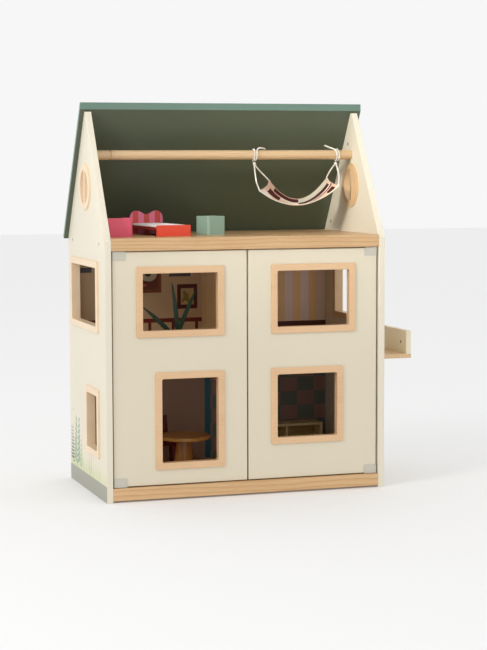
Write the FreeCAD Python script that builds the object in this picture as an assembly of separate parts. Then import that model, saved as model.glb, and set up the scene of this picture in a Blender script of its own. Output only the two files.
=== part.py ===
import FreeCAD, Part
import math
import os
from FreeCAD import Vector

# A wooden dollhouse: two storeys of two rooms behind a pair of doors, an attic
# under a one-sided roof, a balcony, a doll's hammock on a rail, and furniture.
# Millimetres. +Z is up and the doors face -Y. The pieces are drawn about the
# middle of the house, on the surface it stands on, and are saved about the
# middle of the overall box, which the balcony and the roof widen.

# ---- The carcass ----
house_width = 540.0          # over the outer faces of the two side walls
house_depth = 292.0
wall_thick = 12.0
eave_height = 473.0          # where the slopes of a side wall start
ridge_height = 712.0         # where the two slopes would meet
apex_flat = 5.0              # blunt top of a gable
board_thick = 22.8           # base board and attic floor
base_lift = 3.3              # the base board hangs this much clear of the ground
attic_floor_step = 5.7       # top of the attic floor above the eaves
middle_floor_thick = 9.0
middle_floor_top = 247.0
hinge_notch_gap = 1.0        # middle floor to a door's hinge edge as it swings
divider_thick = 8.0
back_panel_thick = 5.0
back_panel_inset = 3.0       # from the back edges of the side walls
front_gap = 1.0              # between a closed door and the edges of the inner boards
doorway_height = 166.0
doorway_depth = 154.0        # from the back panel forwards
roof_thick = 8.0
roof_overhang = 8.5          # past each side wall
roof_drip = 6.0              # past the eave, along the slope
edge_round = 0.8             # sanded edges

# ---- The doors ----
door_thick = 9.0
door_recess = 5.0            # from the front edges of the walls to the doors' faces
door_side_gap = 3.0
door_end_gap = 2.0           # above and below a door
door_meeting_gap = 3.0
pivot_inset = 7.0            # from a door's outer edge to its pivot
clip_width = 24.0
clip_height = 15.0
clip_thick = 1.2
pin_diameter = 4.0
pin_clearance = 0.05         # radial, pin in bush
pin_reach = 7.0              # into the board above or below
bush_wall = 1.2
magnet_diameter = 8.0
magnet_thick = 3.0
keeper_thick = 0.5
magnet_offset = 26.0         # from the middle of the house

# ---- Windows: sizes are over the frames ----
frame_width = 12.0
frame_proud = 3.5            # outside
frame_proud_inside = 1.5
frame_corner = 2.0
opening_corner = 3.0
door_window_inner_margin = 44.0     # from a door's meeting edge to both its windows
upper_window_margin = 43.5          # from a door's hinge edge to a window
lower_left_window_margin = 78.5
lower_right_window_margin = 67.5
upper_window_sill = 51.5            # above the middle floor
upper_window_tall = 128.0
lower_window_head = 4.0             # under the middle floor
lower_left_window_tall = 178.0
lower_right_window_tall = 142.0
side_window_front_margin = 50.0     # from a side wall's front edge
side_upper_back_margin = 24.0       # from its back edge
side_upper_sill = 57.0
side_upper_tall = 131.0
side_lower_width = 103.0
side_lower_sill = 47.9              # above the base board
side_lower_tall = 126.0
balcony_window_width = 184.0
balcony_window_sill = 59.0
balcony_window_tall = 129.0
ring_outer_diameter = 86.0
ring_inner_diameter = 62.0
ring_bar = 8.0               # upright bar across a ring
ring_bar_recess = 1.0
ring_drop = 143.0                   # its axis below the ridge

# ---- Balcony ----
balcony_length = 200.0
balcony_reach = 74.5         # from the wall
balcony_floor_thick = 8.0
balcony_rail_thick = 9.5
balcony_rail_height = 45.0
balcony_lip = 1.0            # floor edge past the rail

# ---- Rail under the ridge ----
rail_diameter = 18.0
rail_drop = 84.0             # its axis below the ridge
rail_socket = 6.0            # depth let into each gable
rail_groove_from_wall = 34.0
groove_width = 2.6
groove_depth = 1.5

# ---- Bolts and barrel nuts ----
bolt_diameter = 4.0
bolt_head_diameter = 7.0
bolt_head_thick = 1.6
nut_diameter = 6.0
nut_depth = 10.0
wall_bolt_length = 40.0
wall_bolt_front_margin = 44.0
wall_bolt_back_margin = 36.0
roof_bolt_places = (62.0, 241.0)    # down the slope from the ridge line
roof_nut_inset = 20.0
rail_bolt_from_end = 27.0
rail_nut_height = 21.0
stud_length = 50.0
stud_from_middle = 60.0

# ---- Hammock ----
cord_diameter = 3.0
knot_diameter = 6.4
cloth_thick = 1.6
front_sag = 31.1
back_sag = 38.7
cloth_sections = 9
hammock_from_wall = 114.0    # middle of the hammock from the right wall
loop_gap = 0.4               # between the rail and a loop
loop_pitch = 4.5             # sideways per turn
loop_steps = 8               # corner points per turn
loop_turns = 1.5
left_loop_place = -87.0      # where each loop starts, from the hammock's middle
right_loop_place = 87.0
knot_drop = 7.9              # middle of a knot under the rail

# ---- Furniture ----
rest_gap = 0.1               # under loose furniture
armchair_size = (54.0, 46.0, 34.5)
armchair_from_wall = 2.0
armchair_from_front = 58.0
armchair_round = 7.0
armchair_wall = 9.0
armchair_seat = 17.0
armchair_edge_round = 1.5
bed_length = 150.0
bed_width = 66.0
bed_foot_height = 20.5
bed_head_height = 44.0
bed_head_outline = ((0.0, 15.0), (0.035, 6.5), (0.11, 1.5), (0.21, 0.0), (0.33, 2.6),
                    (0.42, 6.0), (0.5, 7.0))  # share of its width, drop from its top; mirrored
bed_board = 6.0
bed_base_thick = 4.0
mattress_thick = 5.0
mattress_gap = 0.4
bed_from_wall = 101.0        # its front left corner from the left wall
bed_from_front = 55.0
bed_turn = 5.5               # degrees
pouf_side = 41.0
pouf_height = 35.0
pouf_from_wall = 220.5       # its middle
pouf_from_front = 113.0
pouf_round = 5.0
pouf_edge_round = 1.5
pouf_turn = 18.5             # degrees
table_from_divider = 77.0    # its middle
table_from_back = 134.0
table_height = 69.0
table_radius = 50.0
table_top_thick = 7.0
table_leg_top_radius = 14.0
table_leg_foot_radius = 21.0
chair_from_table = 40.0      # left of the table's middle
chair_from_back = 37.0
chair_size = (44.0, 40.0)
chair_seat_height = 45.6
chair_back_height = 95.3
chair_board = 6.0
chair_leg = 7.0
console_from_wall = 23.0
console_from_back = 3.0
console_size = (152.0, 40.0, 66.8)
console_board = 5.0
console_shelf_height = 12.0
console_back_thick = 3.0
plant_from_divider = 105.0
plant_from_front = 85.0      # behind the doors
pot_height = 42.0
pot_top_radius = 17.0
pot_foot_radius = 12.5
pot_wall = 2.5
leaf_thick = 1.6
leaf_width = 9.0
leaf_cross = 0.1             # a leaf's foot stands this share of its reach the other way

# ---- Worked out from the above ----
wall_out = house_width / 2
wall_in = wall_out - wall_thick
front = -house_depth / 2
back = house_depth / 2
slope = (ridge_height - eave_height) / back
slope_angle = math.atan(slope)
base_top = base_lift + board_thick
attic_floor_top = eave_height + attic_floor_step
attic_floor_under = attic_floor_top - board_thick
middle_floor_under = middle_floor_top - middle_floor_thick
panel_back = back - back_panel_inset
panel_front = panel_back - back_panel_thick
door_front = front + door_recess
door_back = door_front + door_thick
boards_front = door_back + front_gap
door_bottom = base_top + door_end_gap
door_top = attic_floor_under - door_end_gap
door_outer_edge = wall_in - door_side_gap
door_inner_edge = door_meeting_gap / 2
pivot_x = door_outer_edge - pivot_inset
pivot_y = (door_front + door_back) / 2
swing_radius = math.hypot(pivot_inset, door_thick / 2) + hinge_notch_gap
ring_height = ridge_height - ring_drop
rail_height = ridge_height - rail_drop
roof_run = back / math.cos(slope_angle) + roof_drip
roof_back = roof_run * math.cos(slope_angle) + roof_thick * math.sin(slope_angle)
balcony_floor_mid = (middle_floor_top + middle_floor_under) / 2
balcony_floor_top = balcony_floor_mid + balcony_floor_thick / 2
balcony_edge = wall_out + balcony_reach
balcony_rail_out = balcony_edge - balcony_lip
balcony_rail_in = balcony_rail_out - balcony_rail_thick
hammock_x = wall_in - hammock_from_wall
hammock_middle = Vector(hammock_x, 0, rail_height)
origin = Vector((balcony_edge - wall_out - roof_overhang) / 2, (roof_back + front) / 2, 0)

X = Vector(1, 0, 0)
Y = Vector(0, 1, 0)
Z = Vector(0, 0, 1)

os.makedirs("parts", exist_ok=True)


def save(name, shape):
    """Write one node, moved to its place about the overall box."""
    shape = shape.copy()
    shape.translate(origin * -1)
    shape.exportStep("parts/" + name + ".step")


def group(shapes):
    """Separate solids that share one node."""
    return Part.makeCompound(shapes)


def block(x0, x1, y0, y1, z0, z1):
    """Box between two corners."""
    return Part.makeBox(x1 - x0, y1 - y0, z1 - z0, Vector(x0, y0, z0))


def rod(diameter, start, direction, length):
    """Cylinder from a point along a direction."""
    return Part.makeCylinder(diameter / 2, length, start, direction)


def slab(points, direction):
    """Prism of a closed outline."""
    outline = Part.makePolygon(points + [points[0]])
    return Part.Face(outline).extrude(direction)


def runs_along(edge, direction):
    """True for a straight edge parallel to a direction."""
    if not isinstance(edge.Curve, (Part.Line, Part.LineSegment)):
        return False
    return abs(edge.tangentAt(edge.FirstParameter).dot(direction)) > 0.999


def round_along(shape, direction, radius):
    """Fillet the edges parallel to a direction."""
    return shape.makeFillet(radius, [e for e in shape.Edges if runs_along(e, direction)])


def round_face_edges(shape, normal, place, radius):
    """Fillet every edge that lies in the plane at a place along a row axis."""
    chosen = []
    for edge in shape.Edges:
        if all(abs(v.Point.dot(normal) - place) < 0.001 for v in edge.Vertexes):
            chosen.append(edge)
    return shape.makeFillet(radius, chosen)


def cut_all(shape, tools):
    """Take every tool out of a shape."""
    return shape.cut(tools) if tools else shape


# ---- Windows ----

def window_prism(normal, low, high, bottom, top, near, far, corner):
    """Round-cornered block for a hole or a frame; low and high run across it."""
    if normal is Y:
        body = block(low, high, near, far, bottom, top)
    else:
        body = block(near, far, low, high, bottom, top)
    return round_along(body, normal, corner)


def window_frame(normal, low, high, bottom, top, near, far, outside):
    """Square ring that fills its hole and stands proud on both sides."""
    ring = window_prism(normal, low, high, bottom, top, near, far, frame_corner)
    hole = window_prism(normal, low + frame_width, high - frame_width,
                        bottom + frame_width, top - frame_width,
                        near - 1, far + 1, opening_corner)
    return round_face_edges(ring.cut(hole), normal, outside, edge_round)


side_window_front = front + side_window_front_margin
side_upper_bottom = middle_floor_top + side_upper_sill
side_lower_bottom = base_top + side_lower_sill
balcony_window_bottom = middle_floor_top + balcony_window_sill
left_upper_window = (side_window_front, back - side_upper_back_margin,
                     side_upper_bottom, side_upper_bottom + side_upper_tall)
left_lower_window = (side_window_front, side_window_front + side_lower_width,
                     side_lower_bottom, side_lower_bottom + side_lower_tall)
balcony_window = (-balcony_window_width / 2, balcony_window_width / 2,
                  balcony_window_bottom, balcony_window_bottom + balcony_window_tall)

wall_windows = {
    "left_upper_window_frame": (-1, left_upper_window),
    "left_lower_window_frame": (-1, left_lower_window),
    "balcony_window_frame": (1, balcony_window),
}

for name, (side, window) in wall_windows.items():
    outer = side * (wall_out + frame_proud)
    inner = side * (wall_in - frame_proud_inside)
    save(name, window_frame(X, *window, min(outer, inner), max(outer, inner), outer))


def gable_ring(side):
    """Ring in a gable's round window, with an upright bar across it."""
    inner = side * (wall_in - frame_proud_inside)
    length = wall_thick + frame_proud + frame_proud_inside
    start = Vector(inner, 0, ring_height)
    ring = rod(ring_outer_diameter, start, X * side, length)
    ring = ring.cut(rod(ring_inner_diameter, start, X * side, length))
    outer = side * (wall_out + frame_proud)
    ring = round_face_edges(ring, X, outer, edge_round)
    reach = (ring_inner_diameter + ring_outer_diameter) / 4
    bar = block(min(inner, outer) + ring_bar_recess, max(inner, outer) - ring_bar_recess,
                -ring_bar / 2, ring_bar / 2, ring_height - reach, ring_height + reach)
    return ring.fuse(bar).removeSplitter()


save("left_gable_ring", gable_ring(-1))
save("right_gable_ring", gable_ring(1))


# ---- Rail ----

rail_start = Vector(-wall_in - rail_socket, 0, rail_height)
rail_length = 2 * (wall_in + rail_socket)
rail = rod(rail_diameter, rail_start, X, rail_length)
groove_start = Vector(-wall_in + rail_groove_from_wall, 0, rail_height)
groove = rod(rail_diameter + 2, groove_start, X, groove_width)
groove = groove.cut(rod(rail_diameter - 2 * groove_depth, groove_start, X, groove_width))
save("hammock_rail", rail.cut(groove))


# ---- Bolts, nuts and studs ----

def bolt(head_face, direction, length):
    """Flat-headed bolt; head_face is the middle of the head's outer face."""
    head = rod(bolt_head_diameter, head_face, direction, bolt_head_thick)
    return head.fuse(rod(bolt_diameter, head_face, direction, length))


def roof_point(along, depth):
    """Point at a distance down the roof's underside and a depth below it, in YZ."""
    y = along * math.cos(slope_angle) - depth * math.sin(slope_angle)
    z = ridge_height - along * math.sin(slope_angle) - depth * math.cos(slope_angle)
    return y, z


into_roof = Vector(0, -math.sin(slope_angle), -math.cos(slope_angle))
wall_bolt_rows = (front + wall_bolt_front_margin, back - wall_bolt_back_margin)
wall_bolts = []
roof_bolts = []
roof_nuts = []
for side in (-1, 1):
    for y in wall_bolt_rows:
        for z in (base_lift + board_thick / 2, attic_floor_top - board_thick / 2):
            wall_bolts.append(bolt(Vector(side * wall_out, y, z), X * -side, wall_bolt_length))
    wall_mid = side * (wall_in + wall_thick / 2)
    for along in roof_bolt_places:
        y, z = roof_point(along, -roof_thick)
        reach = roof_thick + roof_nut_inset + nut_diameter
        roof_bolts.append(bolt(Vector(wall_mid, y, z), into_roof, reach))
        y, z = roof_point(along, roof_nut_inset)
        roof_nuts.append(rod(nut_diameter, Vector(side * wall_in, y, z), X * side, nut_depth))

balcony_bolts = []
balcony_nuts = []
balcony_studs = []
for side in (-1, 1):
    y = side * (balcony_length / 2 - rail_bolt_from_end)
    rail_mid = (balcony_rail_in + balcony_rail_out) / 2
    under = balcony_floor_top - balcony_floor_thick
    reach = balcony_floor_thick + rail_nut_height + nut_diameter
    balcony_bolts.append(bolt(Vector(rail_mid, y, under), Z, reach))
    nut_start = Vector(balcony_rail_in, y, balcony_floor_top + rail_nut_height)
    balcony_nuts.append(rod(nut_diameter, nut_start, X, balcony_rail_thick - 1))
    stud_start = Vector(wall_out - wall_thick / 2 - stud_length / 2,
                        side * stud_from_middle, balcony_floor_mid)
    balcony_studs.append(rod(bolt_diameter, stud_start, X, stud_length))

bolts_of_roof_and_balcony = roof_bolts + balcony_bolts
barrel_nuts = [nut.cut(bolts_of_roof_and_balcony) for nut in roof_nuts + balcony_nuts]
save("wall_bolts", group(wall_bolts))
save("roof_bolts", group(roof_bolts))
save("balcony_bolts", group(balcony_bolts))
save("balcony_studs", group(balcony_studs))
save("barrel_nuts", group(barrel_nuts))
carcass_metal = wall_bolts + bolts_of_roof_and_balcony + balcony_studs + roof_nuts + balcony_nuts


# ---- Side walls, boards, roof ----

flat_z = ridge_height - slope * apex_flat / 2
gable_outline = [(front, 0), (back, 0), (back, eave_height), (apex_flat / 2, flat_z),
                 (-apex_flat / 2, flat_z), (front, eave_height)]


def side_wall(side):
    """Gable wall with its windows, ring, rail socket and bolt holes."""
    points = [Vector(side * wall_in, y, z) for y, z in gable_outline]
    wall = slab(points, X * side * wall_thick)
    front_edges = [e for e in wall.Edges if not runs_along(e, X)
                   and all(v.Y < 0.1 for v in e.Vertexes) and e.BoundBox.ZMax > 1]
    wall = wall.makeFillet(edge_round, front_edges)
    tools = [rod(ring_outer_diameter, Vector(side * (wall_in - 1), 0, ring_height),
                 X * side, wall_thick + 2), rail]
    for window_side, window in wall_windows.values():
        if window_side == side:
            near = min(side * (wall_in - 1), side * (wall_out + 1))
            tools.append(window_prism(X, *window, near, near + wall_thick + 2, frame_corner))
    return cut_all(wall, tools + carcass_metal)


save("left_side_wall", side_wall(-1))
save("right_side_wall", side_wall(1))

bush_diameter = pin_diameter + 2 * (pin_clearance + bush_wall)
bush_reach = pin_reach + bush_wall
pivots = [Vector(side * pivot_x, pivot_y, z) for side in (-1, 1)
          for z in (base_top, attic_floor_under)]


def into_board(pivot):
    """Direction from the door's end into the board that holds its pin."""
    return Z if pivot.z > middle_floor_top else Z * -1


bush_holes = [rod(bush_diameter, p, into_board(p), bush_reach) for p in pivots]
bush_bores = [rod(pin_diameter + 2 * pin_clearance, p, into_board(p), bush_reach - bush_wall)
              for p in pivots]
save("pivot_bushes", group([hole.cut(bore) for hole, bore in zip(bush_holes, bush_bores)]))


def floor_board(bottom, thick, front_edge):
    """Board between the side walls, from a front edge to the back panel."""
    body = block(-wall_in, wall_in, front_edge, panel_front, bottom, bottom + thick)
    long_front = [e for e in body.Edges if runs_along(e, X)
                  and abs(e.Vertexes[0].Y - front_edge) < 0.001]
    return body.makeFillet(edge_round, long_front)


save("base_board", cut_all(floor_board(base_lift, board_thick, front),
                           bush_holes + wall_bolts))
save("attic_floor", cut_all(floor_board(attic_floor_under, board_thick, front),
                            bush_holes + wall_bolts))

magnets = []
for side in (-1, 1):
    start = Vector(side * magnet_offset, boards_front, balcony_floor_mid)
    magnets.append(rod(magnet_diameter, start, Y, magnet_thick))
save("door_magnets", group(magnets))
hinge_notches = []
for side in (-1, 1):
    inner = side * (pivot_x - swing_radius)
    outer = side * wall_in
    hinge_notches.append(block(min(inner, outer), max(inner, outer), boards_front,
                               pivot_y + swing_radius, middle_floor_under, middle_floor_top))
save("middle_floor", cut_all(floor_board(middle_floor_under, middle_floor_thick, boards_front),
                             magnets + balcony_studs + hinge_notches))

half_divider = divider_thick / 2
save("upper_divider", block(-half_divider, half_divider, boards_front, panel_front,
                            middle_floor_top, attic_floor_under))
lower_divider = block(-half_divider, half_divider, boards_front, panel_front,
                      base_top, middle_floor_under)
doorway = block(-half_divider, half_divider, panel_front - doorway_depth, panel_front,
                base_top, base_top + doorway_height)
save("lower_divider", lower_divider.cut(doorway))
save("back_panel", block(-wall_in, wall_in, panel_front, panel_back, base_lift, eave_height))


def roof():
    """Board on the back slope; its top end is cut upright, its lower end square."""
    half = wall_out + roof_overhang
    lower = roof_point(roof_run, 0)
    lower_out = roof_point(roof_run, -roof_thick)
    top_out = ridge_height + roof_thick / math.cos(slope_angle)
    outline = [(0, ridge_height), (0, top_out), lower_out, lower]
    body = slab([Vector(-half, y, z) for y, z in outline], X * 2 * half)
    return body.makeFillet(edge_round, body.Edges)


save("roof_panel", cut_all(roof(), roof_bolts))


# ---- Balcony ----

balcony_floor = block(wall_out, balcony_edge, -balcony_length / 2, balcony_length / 2,
                      balcony_floor_top - balcony_floor_thick, balcony_floor_top)
balcony_floor = round_face_edges(balcony_floor, X, balcony_edge, edge_round)
save("balcony_floor", cut_all(balcony_floor, balcony_bolts + balcony_studs))
balcony_rail = block(balcony_rail_in, balcony_rail_out, -balcony_length / 2, balcony_length / 2,
                     balcony_floor_top, balcony_floor_top + balcony_rail_height)
balcony_rail = round_face_edges(balcony_rail, Z, balcony_floor_top + balcony_rail_height,
                                edge_round)
save("balcony_rail", cut_all(balcony_rail, balcony_bolts + balcony_nuts))


# ---- Doors ----

window_near = door_inner_edge + door_window_inner_margin
upper_far = door_outer_edge - upper_window_margin
lower_left_far = door_outer_edge - lower_left_window_margin
lower_right_far = door_outer_edge - lower_right_window_margin
upper_bottom = middle_floor_top + upper_window_sill
upper_top = upper_bottom + upper_window_tall
lower_top = middle_floor_under - lower_window_head
door_windows = {
    "left": ((-upper_far, -window_near, upper_bottom, upper_top),
             (-lower_left_far, -window_near, lower_top - lower_left_window_tall, lower_top)),
    "right": ((window_near, upper_far, upper_bottom, upper_top),
              (window_near, lower_right_far, lower_top - lower_right_window_tall, lower_top)),
}


def hinge_clip(side, end, door_end):
    """Folded metal clip over a door's outer corner: two plates and a bridge."""
    outer = side * door_outer_edge
    inner = side * (door_outer_edge - clip_width)
    far = door_end + end * clip_thick
    near = door_end - end * clip_height
    body = block(min(outer, inner), max(outer, inner), door_front - clip_thick,
                 door_back + clip_thick, min(near, far), max(near, far))
    slot = block(min(outer, inner) - 1, max(outer, inner) + 1, door_front, door_back,
                 min(near - end, door_end), max(near - end, door_end))
    return body.cut(slot)


def make_door(name, side):
    """One door with its frames, clips, pins and keeper."""
    low = min(side * door_inner_edge, side * door_outer_edge)
    high = max(side * door_inner_edge, side * door_outer_edge)
    panel = block(low, high, door_front, door_back, door_bottom, door_top)
    panel = round_face_edges(panel, Y, door_front, edge_round)
    holes = [window_prism(Y, *window, door_front - 1, door_back + 1, frame_corner)
             for window in door_windows[name]]
    clips = []
    pins = []
    for end, door_end in ((-1, door_bottom), (1, door_top)):
        pin_start = Vector(side * pivot_x, pivot_y, door_end - end * clip_height / 2)
        pin_length = clip_height / 2 + door_end_gap + pin_reach - 1
        pin = rod(pin_diameter, pin_start, Z * end, pin_length)
        pins.append(pin)
        clips.append(hinge_clip(side, end, door_end).cut(pin))
    keeper = rod(magnet_diameter, Vector(side * magnet_offset, door_back, balcony_floor_mid),
                 Y, keeper_thick)
    save(name + "_door", cut_all(panel, holes + pins + clips))
    for window, level in zip(door_windows[name], ("upper", "lower")):
        frame = window_frame(Y, *window, door_front - frame_proud,
                             door_back + frame_proud_inside, door_front - frame_proud)
        save(name + "_door_" + level + "_window_frame", frame)
    save(name + "_door_hinge_clips", group(clips))
    save(name + "_door_pivot_pins", group(pins))
    save(name + "_door_keeper", keeper)


make_door("left", -1)
make_door("right", 1)


# ---- Hammock ----

def cord_tube(name, route, diameter):
    """Round tube along straight runs joined by tangent arcs; prints its bend radii."""
    points = [hammock_middle + Vector(*place) for place in route]
    start = points[0]
    edges = []
    radii = []
    for before, corner, after in zip(points, points[1:], points[2:]):
        arrive = before - corner
        depart = after - corner
        setback = 0.45 * min(arrive.Length, depart.Length)
        half_turn = (math.pi - arrive.getAngle(depart)) / 2
        radius = setback / math.tan(half_turn)
        arrive.normalize()
        depart.normalize()
        inward = arrive + depart
        inward.normalize()
        middle = corner + inward * (radius / math.cos(half_turn) - radius)
        enter = corner + arrive * setback
        leave = corner + depart * setback
        edges.append(Part.LineSegment(start, enter).toShape())
        edges.append(Part.Arc(enter, middle, leave).toShape())
        radii.append(round(radius, 1))
        start = leave
    edges.append(Part.LineSegment(start, points[-1]).toShape())
    path = Part.Wire(edges)
    section = Part.Wire(Part.makeCircle(diameter / 2, points[0], points[1] - points[0]))
    tube = path.makePipeShell([section], True, False)
    expected = math.pi * diameter ** 2 / 4 * path.Length
    print(name, "length", round(path.Length, 1), "radii", radii,
          "volume ratio", round(tube.Volume / expected, 4))
    return tube


loop_radius = (rail_diameter + cord_diameter) / 2 + loop_gap
loop_reach = loop_radius / math.cos(math.pi / loop_steps)   # to a loop's corner points


def loop_route(place, direction, tail):
    """Cord once and a half round the rail, from under it, then its loose tail."""
    route = []
    for step in range(int(loop_steps * loop_turns)):
        angle = 2 * math.pi * step / loop_steps
        route.append((place + direction * loop_pitch * step / loop_steps,
                      -loop_reach * math.sin(angle), -loop_reach * math.cos(angle)))
    return route + tail


# Points from the hammock's middle, on the rail's axis.
left_tail = [(-76.5, -2.0, 12.2), (-69.5, 1.5, 13.6), (-62.0, 2.5, 11.8)]
right_tail = [(75.5, -2.0, 12.4), (68.5, 1.5, 14.6), (61.5, 1.0, 17.4)]
cord_routes = {
    "hammock_left_loop": loop_route(left_loop_place, 1, left_tail),
    "hammock_right_loop": loop_route(right_loop_place, -1, right_tail),
    "hammock_left_front_strand": [(-84.4, -2.0, -18.6), (-84.8, -7.0, -30.5),
                                  (-85.8, -14.5, -43.0), (-85.4, -20.5, -55.0),
                                  (-80.0, -23.2, -68.8)],
    "hammock_left_back_strand": [(-82.0, 2.0, -18.6), (-71.5, 8.0, -29.0),
                                 (-58.0, 15.0, -39.5), (-44.4, 21.6, -51.2)],
    "hammock_right_front_strand": [(83.4, -2.0, -18.8), (84.0, -8.0, -30.0),
                                   (84.2, -16.0, -43.5), (79.6, -23.2, -60.8)],
    "hammock_right_back_strand": [(81.0, 2.0, -18.8), (76.4, 8.0, -27.5),
                                  (73.6, 15.0, -35.5), (71.6, 21.4, -44.8)],
}
for name, route in cord_routes.items():
    save(name, cord_tube(name, route, cord_diameter))

for name, place in (("hammock_left_knot", -83.4), ("hammock_right_knot", 82.4)):
    middle = hammock_middle + Vector(place, 0, -rail_diameter / 2 - knot_drop)
    save(name, Part.makeSphere(knot_diameter / 2, middle))


def sagging_edge(start, end, sag):
    """Points along one long edge of the cloth, hanging as a parabola below its chord."""
    points = []
    for step in range(cloth_sections):
        part = step / (cloth_sections - 1)
        point = start + (end - start) * part
        point.z -= 4 * sag * part * (1 - part)
        points.append(point)
    return points


front_edge = sagging_edge(hammock_middle + Vector(-82, -24, -68),
                          hammock_middle + Vector(81, -24, -60), front_sag)
back_edge = sagging_edge(hammock_middle + Vector(-46, 22, -50),
                         hammock_middle + Vector(73, 22, -44), back_sag)
sections = []
for step in range(cloth_sections):
    before = max(step - 1, 0)
    after = min(step + 1, cloth_sections - 1)
    lengthwise = (front_edge[after] - front_edge[before]) + (back_edge[after] - back_edge[before])
    normal = lengthwise.cross(back_edge[step] - front_edge[step])
    normal.normalize()
    half = normal * (cloth_thick / 2)
    corners = [front_edge[step] - half, back_edge[step] - half,
               back_edge[step] + half, front_edge[step] + half]
    sections.append(Part.makePolygon(corners + [corners[0]]))
save("hammock_cloth", Part.makeLoft(sections, True, True))


# ---- Attic furniture ----

attic_rest = attic_floor_top + rest_gap
chair_x = -wall_in + armchair_from_wall
chair_y = front + armchair_from_front
wide, deep, tall = armchair_size
armchair = block(chair_x, chair_x + wide, chair_y, chair_y + deep, attic_rest, attic_rest + tall)
armchair = round_along(armchair, Z, armchair_round)
seat_space = block(chair_x + armchair_wall, chair_x + wide - armchair_wall,
                   chair_y + armchair_wall, chair_y + deep,
                   attic_rest + armchair_seat, attic_rest + tall)
armchair = armchair.cut(seat_space)
save("armchair", round_face_edges(armchair, Z, attic_rest + tall, armchair_edge_round))

foot_x = -wall_in + bed_from_wall
foot_y = front + bed_from_front


def place_bed_piece(shape):
    """Turn and move a bed piece from its own corner to its place in the attic."""
    shape = shape.copy()
    shape.rotate(Vector(0, 0, 0), Z, bed_turn)
    shape.translate(Vector(foot_x, foot_y, attic_rest))
    return shape


bed_top = bed_foot_height - mattress_thick
foot_board = block(0, bed_width, 0, bed_board, 0, bed_foot_height)
save("bed_foot_board", place_bed_piece(foot_board))
base = block(0, bed_width, bed_board, bed_length - bed_board, bed_top - bed_base_thick, bed_top)
save("bed_base", place_bed_piece(base))
mattress = block(mattress_gap, bed_width - mattress_gap, bed_board + mattress_gap,
                 bed_length - bed_board - mattress_gap, bed_top, bed_foot_height)
save("bed_mattress", place_bed_piece(mattress))
half = [Vector(bed_width * share, bed_length - bed_board, bed_head_height - drop)
        for share, drop in bed_head_outline]
mirrored = [Vector(bed_width - point.x, point.y, point.z) for point in half[-2::-1]]
top_line = Part.BSplineCurve()
top_line.interpolate(half + mirrored)
foot_left = Vector(0, bed_length - bed_board, 0)
foot_right = Vector(bed_width, bed_length - bed_board, 0)
sides = Part.makePolygon([mirrored[-1], foot_right, foot_left, half[0]])
outline = Part.Wire([top_line.toShape()] + sides.Edges)
headboard = Part.Face(outline).extrude(Vector(0, bed_board, 0))
save("bed_headboard", place_bed_piece(headboard))

pouf_middle = Vector(-wall_in + pouf_from_wall, front + pouf_from_front, attic_rest)
half_side = pouf_side / 2
pouf = block(-half_side, half_side, -half_side, half_side, 0, pouf_height)
pouf = round_along(pouf, Z, pouf_round)
pouf = round_face_edges(pouf, Z, pouf_height, pouf_edge_round)
pouf.rotate(Vector(0, 0, 0), Z, pouf_turn)
pouf.translate(pouf_middle)
save("pouf", pouf)


# ---- Table and chair, lower left room ----

room_rest = base_top + rest_gap
table_x = -half_divider - table_from_divider
table_y = panel_front - table_from_back
leg_height = table_height - table_top_thick
leg = Part.makeCone(table_leg_foot_radius, table_leg_top_radius, leg_height,
                    Vector(table_x, table_y, room_rest))
save("table_leg", leg)
top = rod(2 * table_radius, Vector(table_x, table_y, room_rest + leg_height), Z, table_top_thick)
save("table_top", top.makeFillet(2.0, [e for e in top.Edges if e.isClosed()]))

wide, deep = chair_size
chair_x = table_x - chair_from_table
chair_y = panel_front - chair_from_back - deep
seat_z = room_rest + chair_seat_height
seat = block(chair_x, chair_x + wide, chair_y, chair_y + deep, seat_z - chair_board, seat_z)
for x in (chair_x, chair_x + wide - chair_leg):
    for y in (chair_y, chair_y + deep - chair_leg):
        seat = seat.fuse(block(x, x + chair_leg, y, y + chair_leg, room_rest,
                               seat_z - chair_board))
save("chair_seat", round_along(seat.removeSplitter(), Z, 2.0))
middle = chair_x + wide / 2
back_outline = [Vector(middle - 12.5, chair_y + deep - chair_board, seat_z),
                Vector(middle + 12.5, chair_y + deep - chair_board, seat_z),
                Vector(middle + 10.0, chair_y + deep - chair_board, room_rest + chair_back_height),
                Vector(middle - 10.0, chair_y + deep - chair_board, room_rest + chair_back_height)]
save("chair_back", slab(back_outline, Y * chair_board))


# ---- Console, lower right room ----

wide, deep, tall = console_size
low_x = wall_in - console_from_wall - wide
low_y = panel_front - console_from_back - console_back_thick - deep
high_x = low_x + wide
case = block(low_x, high_x, low_y, low_y + deep, room_rest, room_rest + tall)
bay_width = (wide - 3 * console_board) / 2
for start in (low_x + console_board, low_x + 2 * console_board + bay_width):
    case = case.cut(block(start, start + bay_width, low_y, low_y + deep,
                          room_rest + console_shelf_height, room_rest + tall - console_board))
    case = case.cut(block(start, start + bay_width, low_y, low_y + deep, room_rest,
                          room_rest + console_shelf_height - console_board))
save("console_case", case)
console_backs = block(low_x, high_x, low_y + deep, low_y + deep + console_back_thick,
                      room_rest, room_rest + tall)
save("console_back", console_backs)


# ---- Plant, upper left room ----

plant_x = -half_divider - plant_from_divider
plant_y = boards_front + plant_from_front
plant_rest = middle_floor_top + rest_gap
pot = Part.makeCone(pot_foot_radius, pot_top_radius, pot_height,
                    Vector(plant_x, plant_y, plant_rest))
hollow = Part.makeCone(pot_foot_radius - pot_wall, pot_top_radius - pot_wall, 12.0,
                       Vector(plant_x, plant_y, plant_rest + pot_height - 12.0))
save("plant_pot", pot.cut(hollow))

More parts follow.
